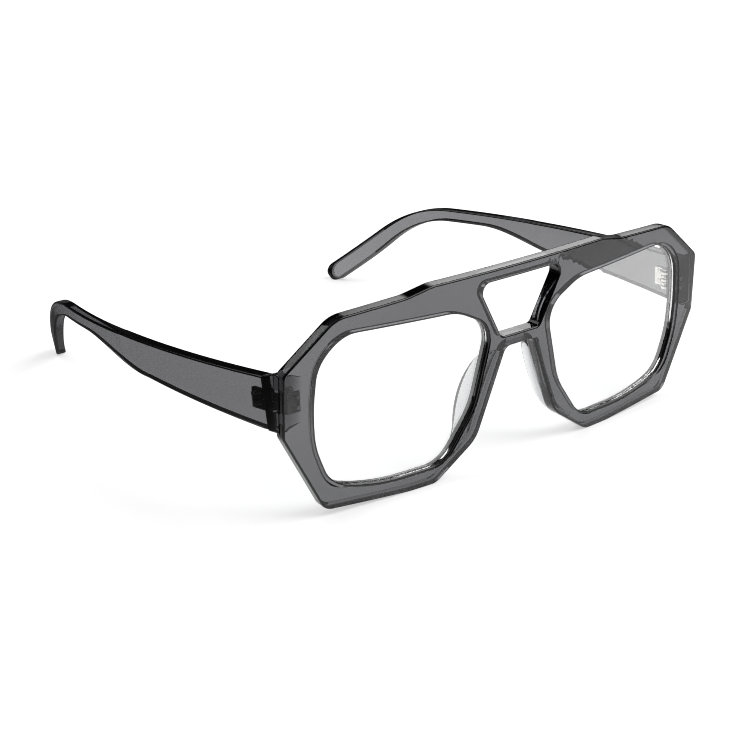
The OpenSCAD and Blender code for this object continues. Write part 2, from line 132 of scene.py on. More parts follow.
def corner_arc(before: CornerPoint, corner: CornerPoint, after: CornerPoint) -> list[tuple[Vector, Vector]]:
    """Samples the rounding of one corner of a clockwise outline.

    Args:
        before: The corner before it.
        corner: The corner as x, z and radius.
        after: The corner after it.

    Returns:
        Places along the arc, each with its direction out of the outline.
    """
    tip, radius = Vector(corner[:2]), corner[2]
    back, on = (Vector(before[:2]) - tip).normalized(), (Vector(after[:2]) - tip).normalized()
    half = math.acos(max(-1.0, min(1.0, back.dot(on)))) / 2
    centre = tip + (back + on).normalized() * (radius / math.sin(half))
    start, stop = (tip + way * (radius / math.tan(half)) - centre for way in (back, on))
    angle = math.atan2(start.y, start.x)
    turn = (math.atan2(stop.y, stop.x) - angle + 3 * math.pi) % (2 * math.pi) - math.pi
    steps = max(2, math.ceil(abs(turn) / ARC_TURN), math.ceil(abs(turn) * radius / ARC_CHORD))
    turns = [angle + turn * k / steps for k in range(steps + 1)]
    ways = [Vector((math.cos(t), math.sin(t))) for t in turns]
    return [(centre + way * radius, way * (1 if turn < 0 else -1)) for way in ways]


def rounded_contour(corners: list[CornerPoint], hole: bool) -> Contour:
    """Rounds a clockwise outline's corners and samples it evenly.

    Args:
        corners: Corner points as x, z and corner radius, in millimetres.
        hole: True for an opening, whose plastic lies outside the outline.

    Returns:
        The sampled outline.
    """
    count = len(corners)
    arcs = [corner_arc(corners[i - 1], corners[i], corners[(i + 1) % count]) for i in range(count)]
    spots = []
    for arc, following in zip(arcs, arcs[1:] + arcs[:1]):
        start, (stop, way) = arc[-1][0], following[0]
        pieces = int((stop - start).length // STRAIGHT_STEP) + 1
        spots += arc + [(start.lerp(stop, k / pieces), way) for k in range(1, pieces)]
    sign = 1.0 if hole else -1.0
    return Contour(
        tuple((place.x, place.y) for place, way in spots),
        tuple((way.x * sign, way.y * sign) for place, way in spots),
    )


def ease(t: float) -> float:
    """A soft start and stop between 0 and 1."""
    k = max(0.0, min(1.0, t))
    return k * k * (3 - 2 * k)


def quarter(radius: float, steps: int, back: bool, thick: float) -> list[Point]:
    """Rounded edge of a plate as offset into the plastic and depth.

    Args:
        radius: Radius of the rounding.
        steps: Faces in the rounding.
        back: True for the back edge, False for the front edge.
        thick: Thickness of the plate.

    Returns:
        The points in order of depth.
    """
    turns = [math.pi / 2 * k / steps for k in range(steps + 1)]
    if back:
        return [(radius * (1 - math.cos(t)), thick - radius * (1 - math.sin(t))) for t in turns]
    return [(radius * (1 - math.sin(t)), radius * (1 - math.cos(t))) for t in turns]


# Meshes


@lru_cache(maxsize=1)
def shift_y() -> float:
    """Y of the middle of the front face, in millimetres, from the CAD model's own box."""
    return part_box("front_frame")[0].y / MM


def linked(name: str, data: bpy.types.ID) -> bpy.types.Object:
    """Makes an object of its data and links it to the scene."""
    made = bpy.data.objects.new(name, data)
    bpy.context.scene.collection.objects.link(made)
    return made


def new_piece(name: str, bm: bmesh.types.BMesh) -> bpy.types.Object:
    """Makes a piece of a mesh drawn in millimetres.

    Args:
        name: Name of the piece.
        bm: The mesh; it is freed.

    Returns:
        The new object, linked to the scene.
    """
    bmesh.ops.recalc_face_normals(bm, faces=bm.faces)
    bmesh.ops.scale(bm, vec=Vector((MM, MM, MM)), verts=bm.verts)
    mesh = bpy.data.meshes.new(name)
    bm.to_mesh(mesh)
    bm.free()
    return linked(name, mesh)


def coat(piece: bpy.types.Object, material: bpy.types.Material) -> None:
    """Gives a piece one material in place of any that it has."""
    piece.data.materials.clear()
    piece.data.materials.append(material)


def smooth(piece: bpy.types.Object) -> None:
    """Shades a piece smooth up to an edge angle, with its flat faces kept flat."""
    for face in piece.data.polygons:
        face.use_smooth = True
    piece.data.set_sharp_from_angle(angle=SHARP_EDGE)
    keep_flat(piece, weight=60)


def keep_flat(piece: bpy.types.Object, weight: int = 50) -> None:
    """Lets a piece's large faces set the normals around them."""
    weighted = piece.modifiers.new("flat faces", "WEIGHTED_NORMAL")
    weighted.keep_sharp = True
    weighted.weight = weight


def paint_shade_on_roundings(
    piece: bpy.types.Object,
    painted_shade_share: Callable[[bpy.types.MeshPolygon, float], float],
) -> None:
    """Writes the share of painted shade at each face: the plastic's colour is darkened there to stand in
    for the dark look that refraction gives its roundings.

    Args:
        piece: The solid that is changed.
        painted_shade_share: The share of painted shade at a face, from the face and its width in
            millimetres.
    """
    mesh = piece.data
    layer = mesh.attributes.new(PAINTED_SHADE_ATTRIBUTE, "FLOAT", "FACE")
    for face in mesh.polygons:
        longest = max((mesh.vertices[a].co - mesh.vertices[b].co).length for a, b in face.edge_keys)
        layer.data[face.index].value = painted_shade_share(face, face.area / longest / MM)


def carve(piece: bpy.types.Object, others: list[bpy.types.Object], operation: str) -> None:
    """Joins other solids to a piece or cuts them from it, and removes them.

    Args:
        piece: The solid that is changed.
        others: The solids that are joined or cut.
        operation: UNION or DIFFERENCE.
    """
    for other in others:
        modifier = piece.modifiers.new("solid", "BOOLEAN")
        modifier.operation = operation
        modifier.solver = "EXACT"
        modifier.object = other
    graph = bpy.context.evaluated_depsgraph_get()
    made = bpy.data.meshes.new_from_object(piece.evaluated_get(graph))
    piece.modifiers.clear()
    old = piece.data
    piece.data = made
    bpy.data.meshes.remove(old)
    for other in others:
        bpy.data.meshes.remove(other.data)


def block(name: str, low: Place, high: Place, place: Matrix) -> bpy.types.Object:
    """A cutting block between two corners, in millimetres, in the frame that place gives."""
    bm = bmesh.new()
    bmesh.ops.create_cube(bm, size=1.0)
    for vertex in bm.verts:
        share = vertex.co + Vector((0.5, 0.5, 0.5))
        vertex.co = Vector([low[i] + (high[i] - low[i]) * share[i] for i in range(3)])
    bmesh.ops.transform(bm, matrix=place, verts=bm.verts)
    return new_piece(name, bm)


def skin(bm: bmesh.types.BMesh, rows: list[list[bmesh.types.BMVert]]) -> None:
    """Lays faces between neighbouring closed rows with equal numbers of vertices."""
    for near, far in zip(rows, rows[1:]):
        for k in range(len(near)):
            j = (k + 1) % len(near)
            bm.faces.new((near[k], near[j], far[j], far[k]))


def loft(rings: list[list[Vector]]) -> bmesh.types.BMesh:
    """Skins a row of closed rings with equal numbers of points, and caps both ends.

    Args:
        rings: The rings, each a list of points.

    Returns:
        The mesh.
    """
    bm = bmesh.new()
    rows = [[bm.verts.new(p) for p in ring] for ring in rings]
    skin(bm, rows)
    bm.faces.new(list(reversed(rows[0])))
    bm.faces.new(rows[-1])
    return bm


@dataclass(frozen=True)
class BaseCurve:
    """The curve of the front seen from above, on which the sheet and the lenses are bent."""

    radius: float = 540.0

    def sag(self, x: float) -> float:
        """Depth of the curve at a distance from the middle."""
        return self.radius - math.sqrt(self.radius**2 - x * x)

    def bend(self, x: float, depth: float, z: float) -> Vector:
        """Place of a flat plate's point on the curve, with walls square to the sheet."""
        lean = math.asin(x / self.radius)
        reach = self.radius - depth
        return Vector((reach * math.sin(lean), self.radius - reach * math.cos(lean), z))


def bent_plate(
    curve: BaseCurve,
    edges: list[tuple[Contour, list[Point]]],
    reach: Callable[[float, float], float],
) -> bmesh.types.BMesh:
    """Builds a plate with rounded edges and openings, bent on the base curve.

    Args:
        curve: The base curve.
        edges: Each outline with its edge profile, as offsets into the plastic and depths.
        reach: Final offset of a profile point, from its distance from the middle and its own offset.

    Returns:
        The mesh, in millimetres.
    """
    bm = bmesh.new()
    front_edges, back_edges = [], []
    for contour, profile in edges:
        rows = []
        for offset, depth in profile:
            row = []
            for p, n in zip(contour.points, contour.inwards):
                inset = reach(abs(p[0]), offset)
                row.append(bm.verts.new((p[0] + n[0] * inset, depth, p[1] + n[1] * inset)))
            rows.append(row)
        skin(bm, rows)
        for row, kept in ((rows[0], front_edges), (rows[-1], back_edges)):
            kept += [bm.edges.get((row[k], row[(k + 1) % len(row)])) for k in range(len(row))]
    sheets = []
    for edges_of_face in (front_edges, back_edges):
        filled = bmesh.ops.triangle_fill(bm, edges=edges_of_face, use_beauty=True, use_dissolve=False)
        sheets += [g for g in filled["geom"] if isinstance(g, bmesh.types.BMFace)]
    slice_sheets(bm, sheets)
    for vertex in bm.verts:
        vertex.co = curve.bend(*vertex.co) + Vector((0, shift_y(), 0))
    return bm


def slice_sheets(bm: bmesh.types.BMesh, sheets: list[bmesh.types.BMFace]) -> None:
    """Cuts a flat plate's faces into narrow strips, so that they can bend."""
    low, high = min(v.co.x for v in bm.verts), max(v.co.x for v in bm.verts)
    x = low + STRIP_START
    while x < high:
        spans = {f: [v.co.x for v in f.verts] for f in sheets if f.is_valid}
        across = [f for f, reach in spans.items() if min(reach) < x < max(reach)]
        crossing = set(across)
        rest = [f for f in sheets if f not in crossing]
        geom = list({v for f in across for v in f.verts} | {e for f in across for e in f.edges}) + across
        cut = bmesh.ops.bisect_plane(bm, geom=geom, dist=1e-4, plane_co=(x, 0, 0), plane_no=(1, 0, 0))
        sheets = rest + [g for g in cut["geom"] if isinstance(g, bmesh.types.BMFace)]
        x += STRIP_WIDTH


# Finishes


class Graph:
    """A node tree that is drawn up in short calls."""

    def __init__(self, tree: bpy.types.NodeTree) -> None:
        """Takes the tree that the nodes go into."""
        self.tree = tree

    def feed(self, node: bpy.types.Node, inputs: Feeds) -> bpy.types.Node:
        """Links a node's inputs, or gives them values of their own.

        Args:
            node: The node.
            inputs: A socket or a value by the name or the number of each input.

        Returns:
            The same node.
        """
        for name, value in inputs.items():
            if isinstance(value, Socket):
                self.tree.links.new(value, node.inputs[name])
            else:
                node.inputs[name].default_value = value
        return node

    def add(self, kind: str, inputs: Feeds | None = None) -> bpy.types.Node:
        """Adds a shader node of a kind and feeds it."""
        return self.feed(self.tree.nodes.new(f"ShaderNode{kind}"), inputs or {})

    def math(self, operation: str, *values: Value) -> Socket:
        """The result of a Math node over sockets or numbers."""
        node = self.add("Math")
        node.operation = operation
        return self.feed(node, dict(enumerate(values))).outputs[0]

    def vector_math(self, operation: str, inputs: Feeds, result: str) -> Socket:
        """One result, Vector or Value, of a Vector Math node."""
        node = self.add("VectorMath")
        node.operation = operation
        return self.feed(node, inputs).outputs[result]

    def fade(self, value: Value, span: Point, levels: Point) -> Socket:
        """A smooth step from one level to the other while a value crosses a span."""
        node = self.add("MapRange")
        node.interpolation_type = "SMOOTHSTEP"
        ends = dict(zip(("From Min", "From Max", "To Min", "To Max"), (*span, *levels)))
        return self.feed(node, {"Value": value, **ends}).outputs[0]

    def matt(self, grey: float) -> Socket:
        """A matt grey shader."""
        return self.add("BsdfDiffuse", {"Color": (grey, grey, grey, 1.0)}).outputs[0]

    def mix(self, share: Value, first: Socket, second: Socket) -> Socket:
        """A mix from the first shader to the second."""
        return self.add("MixShader", {0: share, 1: first, 2: second}).outputs[0]


def new_group(
    name: str, inputs: dict[str, str], outputs: dict[str, str]
) -> tuple[Graph, bpy.types.Node, bpy.types.Node]:
    """Starts a shader node group.

    Args:
        name: Its name.
        inputs: The kind of each input by its name.
        outputs: The kind of each output by its name.

    Returns:
        Its graph, its input node and its output node.
    """
    group = bpy.data.node_groups.new(name, "ShaderNodeTree")
    for way, sockets in (("INPUT", inputs), ("OUTPUT", outputs)):
        for label, kind in sockets.items():
            group.interface.new_socket(label, in_out=way, socket_type=f"NodeSocket{kind}")
    return Graph(group), group.nodes.new("NodeGroupInput"), group.nodes.new("NodeGroupOutput")


def new_material(name: str) -> tuple[bpy.types.Material, Graph, bpy.types.Node]:
    """Starts a material of one Principled shader.

    Args:
        name: Its name.

    Returns:
        The material, its graph and its shader.
    """
    material = bpy.data.materials.new(name)
    material.use_nodes = True
    tree = material.node_tree
    return material, Graph(tree), tree.nodes["Principled BSDF"]


def polish_group() -> bpy.types.NodeTree:
    """The shared node group for a tumbled, polished surface: faint ripple, haze and hairlines.

    Returns:
        A group that gives a colour, a roughness and the height of the ripple.
    """
    found = bpy.data.node_groups.get("tumble polish")
    if found:
        return found
    graph, start, end = new_group(
        "tumble polish",
        {"Scale": "Float", "Haze": "Float", "Haze Spread": "Float", "Tint": "Color", "Shade": "Color"},
        {"Color": "Color", "Roughness": "Float", "Height": "Float"},
    )
    given = start.outputs
    place = graph.add("TexCoord").outputs["Object"]
    scale = given["Scale"]
    cloud = graph.add("TexNoise", {"Vector": place, "Scale": scale, "Detail": 3.0, "Roughness": 0.55})
    stretched = graph.add("Mapping", {"Vector": place, "Scale": HAIR_STRETCH}).outputs["Vector"]
    hair = graph.add("TexNoise", {"Vector": stretched, "Scale": scale, "Detail": 2.0})
    # The inputs of a Mix node go by number, because it has one of each name for every kind
    blend = graph.add("Mix")
    blend.data_type = "RGBA"
    graph.feed(blend, {"Factor": cloud.outputs["Fac"], 6: given["Shade"], 7: given["Tint"]})
    graph.feed(end, {
        "Color": blend.outputs[2],
        "Roughness": graph.math("MULTIPLY_ADD", hair.outputs["Fac"], given["Haze Spread"], given["Haze"]),
        "Height": graph.math("MULTIPLY_ADD", hair.outputs["Fac"], HAIR_SHARE, cloud.outputs["Fac"]),
    })
    return graph.tree


def painted_edge_shade_group() -> bpy.types.NodeTree:
    """The shared node group that paints shade into a clear plastic's colour at its roundings, in place of
    the dark look that refraction gives them.

    Returns:
        A group with inputs Color and Roughness, and outputs of the same names.
    """
    found = bpy.data.node_groups.get("painted edge shade")
    if found:
        return found
    sockets = {"Color": "Color", "Roughness": "Float"}
    graph, start, end = new_group("painted edge shade", sockets, sockets)
    painted_shade = graph.add("Attribute")
    painted_shade.attribute_name = PAINTED_SHADE_ATTRIBUTE
    painted_share = painted_shade.outputs["Fac"]
    # Painted shade: the colour is scaled by the square of what the painted share leaves, and the roughness
    # is raised
    kept = graph.math("POWER", graph.math("SUBTRACT", 1.0, painted_share), 2.0)
    graph.feed(end, {
        "Color": graph.vector_math("SCALE", {0: start.outputs["Color"], "Scale": kept}, "Vector"),
        "Roughness": graph.math("MULTIPLY_ADD", painted_share, PAINTED_SHADE_HAZE, start.outputs["Roughness"]),
    })
    return graph.tree


def polished(
    graph: Graph,
    shader: bpy.types.Node,
    scale: float,
    haze: Point,
    colours: tuple[Colour, Colour],
    bump: float,
) -> None:
    """Feeds the polish group into a shader's colour, roughness and normal.

    Args:
        graph: The material's graph.
        shader: Its Principled shader.
        scale: Scale of the clouding.
        haze: Lowest roughness and its spread.
        colours: The two colours that the clouding runs between.
        bump: Height of the ripple in metres.
    """
    group = graph.add("Group")
    group.node_tree = polish_group()
    graph.feed(group, {
        "Scale": scale, "Haze": haze[0], "Haze Spread": haze[1],
        "Tint": (*colours[0], 1.0), "Shade": (*colours[1], 1.0),
    })
    relief = graph.add("Bump", {"Strength": 1.0, "Distance": bump, "Height": group.outputs["Height"]})
    graph.feed(shader, {
        "Base Color": group.outputs["Color"],
        "Roughness": group.outputs["Roughness"],
        "Normal": relief.outputs["Normal"],
    })


def let_lamps_through(graph: Graph, shader: bpy.types.Node, tint: Colour) -> None:
    """Lets shadow and diffuse rays through a clear material as its own tint.

    Args:
        graph: The material's graph.
        shader: Its Principled shader.
        tint: Colour of the light that comes through.
    """
    path = graph.add("LightPath").outputs
    from_lamp = graph.math("MAXIMUM", path["Is Shadow Ray"], path["Is Diffuse Ray"])
    open_way = graph.add("BsdfTransparent", {"Color": (*tint, 1.0)})
    surface = graph.mix(from_lamp, shader.outputs[0], open_way.outputs[0])
    graph.feed(graph.tree.nodes["Material Output"], {"Surface": surface})


@dataclass(frozen=True)
class ClearPlastic:
    """A clear plastic that darkens with the thickness that light passes."""

    name: str
    ior: float
    absorbed: Colour
    density: float
    haze: Point
    shade: Colour
    shadow: Colour
    tint: Colour = (1.0, 1.0, 1.0)
    clouding: float = 45.0
    ripple: float = 5e-7
    coat: float = 0.0

    def build(self) -> bpy.types.Material:
        """Makes the material.

        Returns:
            The material, with its absorption as a volume.
        """
        material, graph, shader = new_material(self.name)
        graph.feed(shader, {"Transmission Weight": 1.0, "IOR": self.ior})
        if self.coat > 0:
            graph.feed(shader, {"Coat Weight": 1.0, "Coat IOR": self.coat, "Coat Roughness": 0.0})
        polished(graph, shader, self.clouding, self.haze, (self.tint, self.shade), self.ripple)
        # Painted shade: the edge group darkens the colour at the roundings that the mesh marks
        edges = graph.add("Group")
        edges.node_tree = painted_edge_shade_group()
        for own, shared in (("Base Color", "Color"), ("Roughness", "Roughness")):
            graph.feed(edges, {shared: shader.inputs[own].links[0].from_socket})
            graph.feed(shader, {own: edges.outputs[shared]})
        let_lamps_through(graph, shader, self.shadow)
        volume = graph.add("VolumeAbsorption", {"Color": (*self.absorbed, 1.0), "Density": self.density})
        graph.feed(graph.tree.nodes["Material Output"], {"Volume": volume.outputs[0]})
        return material


@dataclass(frozen=True)
class Metal:
    """A turned or pressed metal with fine working marks."""

    name: str
    bright: Colour
    dull: Colour
    haze: Point
    clouding: float = 900.0
    ripple: float = 3e-6

    def build(self) -> bpy.types.Material:
        """Makes the material.

        Returns:
            The material.
        """
        material, graph, shader = new_material(self.name)
        graph.feed(shader, {"Metallic": 1.0})
        polished(graph, shader, self.clouding, self.haze, (self.bright, self.dull), self.ripple)
        return material


SMOKE_PLASTIC = ClearPlastic(
    name="smoke_plastic",
    ior=1.49,
    absorbed=(0.03, 0.03, 0.055),
    density=474.0,
    haze=(0.015, 0.02),
    shade=(0.97, 0.97, 0.97),
    shadow=(0.35, 0.35, 0.36),
)
LENS_PLASTIC = ClearPlastic(
    name="clear_lens",
    ior=1.50,
    absorbed=(0.9, 0.95, 0.93),
    density=12.0,
    haze=(0.0, 0.004),
    shade=(0.995, 0.998, 0.998),
    shadow=(0.96, 0.97, 0.97),
    ripple=1e-7,
    coat=1.75,
)
PAD_PLASTIC = ClearPlastic(
    name="clear_pad",
    ior=1.46,
    absorbed=(0.56, 0.57, 0.58),
    density=300.0,
    haze=(0.05, 0.05),
    shade=(0.96, 0.96, 0.97),
    shadow=(0.85, 0.85, 0.86),
    ripple=2e-7,
)
HINGE_METAL = Metal(
    name="hinge_metal", bright=(0.86, 0.84, 0.80), dull=(0.70, 0.68, 0.64), haze=(0.12, 0.14)
)
SCREW_METAL = Metal(
    name="screw_metal", bright=(0.82, 0.81, 0.78), dull=(0.62, 0.60, 0.57), haze=(0.18, 0.16)
)


# Pieces


@dataclass
class Hinge:
    """Sizes of the two hinges and the frame that each stands in."""

    depth: float = 12.4
    height: float = 31.0
    pitch: float = 5.36647
    tall: float = 5.2
    knuckle_radius: float = 1.5
    barrel_gap: float = 0.2
    leaf_thick: float = 1.1
    leaf_sink: float = 0.8
    leaf_rise: float = 0.5
    front_leaf: float = 2.0
    head_diameter: float = 2.4
    temple_leaf_start: float = 1.0
    temple_leaf: float = 4.4
    joint_ahead: float = 1.2
    joint_slant: float = 11.0
    butt_gap: float = 0.1
    seat_gap: float = 0.03
    lug_out: float = 74.1
    temple_thick: float = 3.5
    blade_rise: float = 6.6
    blade_height: float = 13.4

    @property
    def temple_in(self) -> float:
        """X of the temple's inner face at the hinge."""
        return self.lug_out - self.temple_thick

    @property
    def x(self) -> float:
        """X of the screw."""
        return self.temple_in - self.knuckle_radius - self.barrel_gap

    @property
    def slope(self) -> float:
        """Share of the temple's height that stands upright."""
        return math.cos(math.radians(self.pitch))

    @property
    def blade_top(self) -> float:
        """Height of the temple's top edge at the hinge."""
        return self.blade_rise * self.slope + self.height

    @property
    def plate_x(self) -> float:
        """X of the temple leaf's inner face, from the screw."""
        return self.temple_in - self.x + self.leaf_sink - self.leaf_thick

    def place(self, side: Side) -> Matrix:
        """Frame of the hinge: origin in the knuckles, Y along the temple, Z along the screw.

        Args:
            side: The wearer's side.

        Returns:
            The matrix from that frame to the model's frame, in millimetres.
        """
        mirror = Matrix.Scale(-1, 4, (1, 0, 0)) if side is Side.RIGHT else Matrix.Identity(4)
        origin = Matrix.Translation((self.x, self.depth + shift_y(), self.height))
        return mirror @ origin @ Matrix.Rotation(-math.radians(self.pitch), 4, "X")

    def joint_y(self, z: float) -> float:
        """Y of the joint between lug and temple at a height, from the front's middle."""
        return self.depth - self.joint_ahead + math.tan(math.radians(self.joint_slant)) * (z - self.height)


@dataclass
class Front:
    """The plastic front: two rims, the brow bar, the bridge bar and the two lugs."""

    hinge: Hinge
    curve: BaseCurve
    half_width: float = 73.4
    thick: float = 4.0
    brow_height: float = 53.8
    brow_half: float = 30.0
    brow_drop: float = 1.5
    corner_inset: float = 14.5
    corner_height: float = 51.2
    lug_top: float = 39.5
    lug_bottom: float = 23.2
    foot_inset: float = 11.8
    foot_rise: float = 1.7
    foot_half: float = 27.4
    arch_half: float = 4.9
    arch_height: float = 32.0
    bridge_bar: float = 3.0
    brow_bar: float = 3.2
    gap_half_top: float = 15.2
    gap_half_bottom: float = 6.6
    brow_step: float = 8.0
    flat_long: float = 8.5
    nasal_run: float = 13.2
    nasal_height: float = 8.8
    brow_round: float = 12.0
    corner_round: float = 9.0
    lug_upper_round: float = 2.5
    lug_lower_round: float = 3.0
    foot_round: float = 4.0
    flat_outer_round: float = 30.0
    flat_inner_round: float = 5.0
    nasal_round: float = 9.0
    arch_round: float = 2.5
    gap_upper_round: float = 2.4
    gap_lower_round: float = 1.8
    eye_in: float = 9.2
    side_rim: float = 7.1
    eye_top: float = 46.9
    eye_bottom: float = 3.9
    lens_thick: float = 1.8
    lens_gap: float = 0.05
    edge_steps: int = 5
    lip_steps: int = 3
    front_edge: float = 0.5
    outer_back_edge: float = 1.2
    eye_back_edge: float = 0.4
    eye_step: float = 0.3
    eye_lip: float = 0.6
    lip_growth: float = 0.95
    lip_start: float = 52.0
    lip_spread: float = 11.0
    lip_edge: float = 0.3
    lip_slope: float = 0.1
    lens_seat: float = 0.35
    ramp_crest: float = 1.4
    ramp_top: float = 37.6
    ramp_bottom: float = 26.0
    ramp_slope: float = 0.4
    ramp_edge: float = 0.25
    ramp_steps: int = 3
    ramp_start: float = 0.25
    ramp_root: float = 0.7
    ramp_drop: float = 0.15
    ramp_overlap: float = 0.2
    ramp_tuck: float = 0.02
    lug_inset_top: float = 0.2
    lug_inset_bottom: float = 0.9
    lug_root: float = 2.2
    lug_tuck: float = 0.4
    lug_plain: float = 0.35
    lug_hollow: float = 1.6
    lug_round: float = 0.6
    lug_inner_round: float = 0.35
    lug_steps: int = 4
    screw_way_length: float = 20.0
    screw_way_sides: int = 36
    # Painted shade: which faces count as roundings, and how dark the roundings, the walls near the front
    # and the lug's outer side are painted
    front_round_width: float = 0.36
    back_round_width: float = 0.42
    painted_shade_wall_depth: float = 1.2
    side_band: float = 1.0
    sheet_skin: float = 0.1
    painted_edge_shade: float = 0.98
    back_edge_painted_shade: float = 0.35
    lug_side_painted_shade: float = 0.45

    @property
    def nasal_low(self) -> Point:
        """Lower corner of the nasal edge."""
        return self.foot_half - self.nasal_run, self.nasal_height

    def outer_corners(self) -> list[CornerPoint]:
        """Corners of the front's outline, clockwise from the brow."""
        w = self.half_width
        return both_halves([
            (self.brow_half, self.brow_height, self.brow_round),
            (self.brow_half + self.brow_step, self.brow_height - self.brow_drop, self.brow_round),
            (w - self.corner_inset, self.corner_height, self.corner_round),
            (w, self.lug_top, self.lug_upper_round),
            (w, self.lug_bottom, self.lug_lower_round),
            (w - self.foot_inset, self.foot_rise, self.foot_round),
            (self.foot_half + self.flat_long, 0, self.flat_outer_round),
            (self.foot_half, 0, self.flat_inner_round),
            (*self.nasal_low, self.nasal_round),
            (self.arch_half, self.arch_height, self.arch_round),
        ])

    def gap_corners(self) -> list[CornerPoint]:
        """Corners of the gap between the two bridges."""
        return both_halves([
            (self.gap_half_top, self.brow_height - self.brow_bar, self.gap_upper_round),
            (self.gap_half_bottom, self.arch_height + self.bridge_bar, self.gap_lower_round),
        ])

    def eye_corners(self) -> list[CornerPoint]:
        """Corners of the lens opening on the +X side, clockwise from the upper nasal one.

        Each is placed from the sides of the opening's box, with the radius of its rounding.
        """
        inner, outer = self.eye_in, self.half_width - self.side_rim
        top, bottom = self.eye_top, self.eye_bottom
        return [
            (inner, top - 7.7, 8),
            (inner + 12.3, top - 1.5, 16),
            (outer - 1.8, top + 0.6, 12),
            (outer, bottom + 25, 50),
            (outer - 0.6, bottom + 15, 24),
            (outer - 5.2, bottom + 3.6, 9),
            (outer - 22.3, bottom + 0.2, 60),
            (inner + 15.4, bottom + 0.2, 10),
            (inner + 5.5, bottom + 13.6, 20),
        ]

    def plate(self) -> bpy.types.Object:
        """The bent sheet with its openings and lens grooves.

        Returns:
            The sheet as a closed solid.
        """
        thick, wall, step = self.thick, -self.eye_lip, self.eye_step
        near = (thick - self.lens_thick) / 2 - self.lens_gap
        far = (thick + self.lens_thick) / 2 + self.lens_gap
        front = quarter(self.front_edge, self.edge_steps, False, thick)
        outer = front + quarter(self.outer_back_edge, self.edge_steps, True, thick)
        eye_back = quarter(self.eye_back_edge, self.lip_steps, True, thick)
        lip = [(0.0, 0.0), (-0.4 * self.lip_slope, step / 2), (-self.lip_slope, step)]
        rolled = quarter(self.lip_edge, self.lip_steps, False, thick)
        lip += [(wall + offset, step + depth) for offset, depth in rolled]
        seat = [(wall, near), (wall + self.lens_seat, near), (wall + self.lens_seat, far), (wall, far)]
        eye = lip + seat + [(wall + offset, depth) for offset, depth in eye_back]
        corners = self.eye_corners()
        return new_piece("front", bent_plate(self.curve, [
            (rounded_contour(self.outer_corners(), hole=False), outer),
            (rounded_contour(self.gap_corners(), hole=True), front + eye_back),
            (rounded_contour(corners, hole=True), eye),
            (rounded_contour(mirrored(corners), hole=True), eye),
        ], self.lip_reach))

    def lip_extra(self, x: float) -> float:
        """Extra width of the lens opening's lip towards the lug."""
        return self.lip_growth * ease((x - self.lip_start) / self.lip_spread)

    def lip_reach(self, x: float, offset: float) -> float:
        """Offset of an edge point, with the lip widened towards the lug."""
        if offset >= 0:
            return offset
        return offset - self.lip_extra(x) * min(1.0, -offset / (self.eye_lip - self.lens_seat))

    def lug(self, side: Side) -> bpy.types.Object:
        """The lug behind the side rim, up to the slanted joint.

        Args:
            side: The wearer's side.

        Returns:
            The lug as a closed solid that starts inside the sheet.
        """
        hinge = self.hinge
        root = self.curve.sag(self.half_width) + self.thick - self.lug_root
        inner = hinge.temple_in - self.lug_tuck
        rear_top = hinge.blade_top
        rear_bottom = rear_top - hinge.blade_height * hinge.slope
        front_top = self.lug_top - self.lug_inset_top
        front_bottom = self.lug_bottom + self.lug_inset_bottom
        rings = []
        for share in (0.0, self.lug_plain, 2 * self.lug_plain, 1.0):
            grown = max(0.0, (share - self.lug_plain) / (1 - self.lug_plain))
            outer = self.half_width + (hinge.lug_out - self.half_width) * grown
            top = rear_top + (front_top - rear_top) * (1 - grown) ** self.lug_hollow
            bottom = front_bottom + (rear_bottom - front_bottom) * share
            ring = []
            for x, z, radius, start in (
                (outer, top, self.lug_round, 90), (outer, bottom, self.lug_round, 0),
                (inner, bottom, self.lug_inner_round, -90), (inner, top, self.lug_inner_round, 180),
            ):
                centre_x = x - radius if x == outer else x + radius
                centre_z = z - radius if z == top else z + radius
                for k in range(self.lug_steps + 1):
                    turn = math.radians(start - 90 * k / self.lug_steps)
                    place_x = (centre_x + radius * math.cos(turn)) * side.value
                    place_z = centre_z + radius * math.sin(turn)
                    end = hinge.joint_y(place_z) - hinge.butt_gap
                    ring.append(Vector((place_x, root + (end - root) * share + shift_y(), place_z)))
            rings.append(ring)
        return new_piece("lug", loft(rings))

    def ramp(self, side: Side) -> bpy.types.Object:
        """The ramp that joins the lug to the back of the side rim, with softly broken edges.

        Args:
            side: The wearer's side.

        Returns:
            The ramp as a closed solid that starts inside the sheet and the lug.
        """
        hinge = self.hinge
        start = self.half_width - self.side_rim + self.ramp_start
        crest = hinge.temple_in - self.ramp_crest
        root = self.curve.sag(start) + self.thick - self.ramp_root
        rear_top = hinge.blade_top - self.ramp_drop
        stop = hinge.temple_in + self.ramp_overlap
        rings = []
        for x, share in ((start, 0.0), ((start + crest) / 2, 0.5), (crest, 1.0), (stop, 1.0)):
            climb = self.ramp_slope * (x - start)
            top, bottom = self.ramp_top + climb, self.ramp_bottom - climb
            back = self.curve.sag(x) + self.thick
            ring = [(root, bottom), (root, top)]
            for z, edge in ((top + (rear_top - top) * share, 1), (bottom, -1)):
                for k in range(self.ramp_steps + 1):
                    turn = math.pi / 2 * (k if edge > 0 else self.ramp_steps - k) / self.ramp_steps
                    level = z - edge * self.ramp_edge * (1 - math.cos(turn))
                    full = hinge.joint_y(level) - hinge.butt_gap - self.ramp_tuck
                    y = back + (full - back) * share - self.ramp_edge * (1 - math.sin(turn))
                    ring.append((y - self.ramp_tuck, level))
            rings.append([Vector((x * side.value, y + shift_y(), z)) for y, z in ring])
        return new_piece("ramp", loft(rings))

